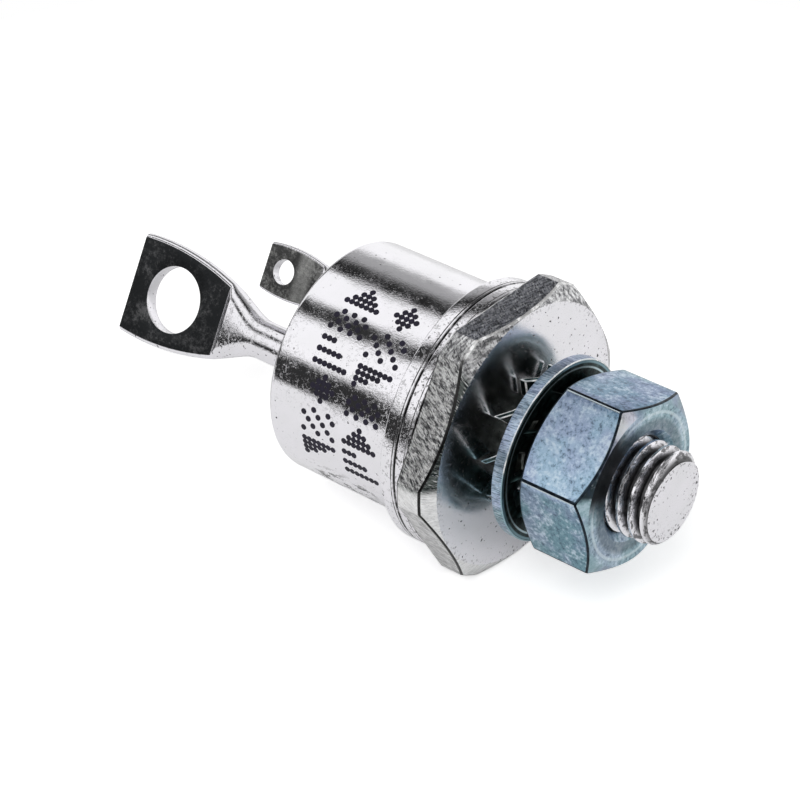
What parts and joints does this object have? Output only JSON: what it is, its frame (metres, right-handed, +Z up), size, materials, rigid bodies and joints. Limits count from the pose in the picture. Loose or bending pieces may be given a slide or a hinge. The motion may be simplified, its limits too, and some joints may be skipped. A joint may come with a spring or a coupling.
{
  "type": "stud mount thyristor",
  "caption": "Stud mounted power thyristor in a round metal can, with hexagon base, threaded stud, lock washer, nut and two eye terminals, lying on one flat.",
  "frame": {"origin": "centre of the bounding box in plan, on the surface that the hexagon's lowest flat lies on", "axes": "+X along the stud, away from the can; +Z up, square to the hexagon's lowest flat; +Y completes the right-handed set"},
  "size_m": [0.0452, 0.02, 0.0182],
  "materials": {
    "base_plate": "bright nickel plate over copper, mottled on the hexagon's flats",
    "ring_plate": "bright nickel plate over steel",
    "can_plate": "bright nickel plate over drawn steel, with ink marks",
    "terminal_plate": "tinned, dull grey where it was forged flat",
    "washer_zinc": "blue passivated zinc plate over steel",
    "nut_zinc": "blue passivated zinc plate over steel",
    "seal_glass": "dark opaque sealing glass",
    "braze": "silver braze",
    "solder": "soft solder",
    "molybdenum": "ground molybdenum",
    "aluminium_alloy": "aluminium alloy contact",
    "silicon": "lapped silicon",
    "silicone_rubber": "cured junction rubber",
    "copper": "bare copper",
    "sleeving": "white sleeving"
  },
  "bodies": {
    "root": {"stud_base": "base_plate", "weld_ring": "ring_plate", "braze_ring": "braze", "base_solder": "solder", "lower_disc": "molybdenum", "alloy_layer": "aluminium_alloy", "silicon_pellet": "silicon", "junction_coating": "silicone_rubber", "disc_solder": "solder", "upper_disc": "molybdenum", "foot_solder": "solder", "gate_pad": "aluminium_alloy", "lead_foot": "copper", "cathode_lead": "copper", "gate_wire": "copper", "gate_sleeve": "sleeving", "cap_shell": "can_plate", "cathode_glass": "seal_glass", "gate_glass": "seal_glass", "cathode_terminal": "terminal_plate", "gate_terminal": "terminal_plate", "lock_washer": "washer_zinc", "hex_nut": "nut_zinc"}
  },
  "joints": []
}
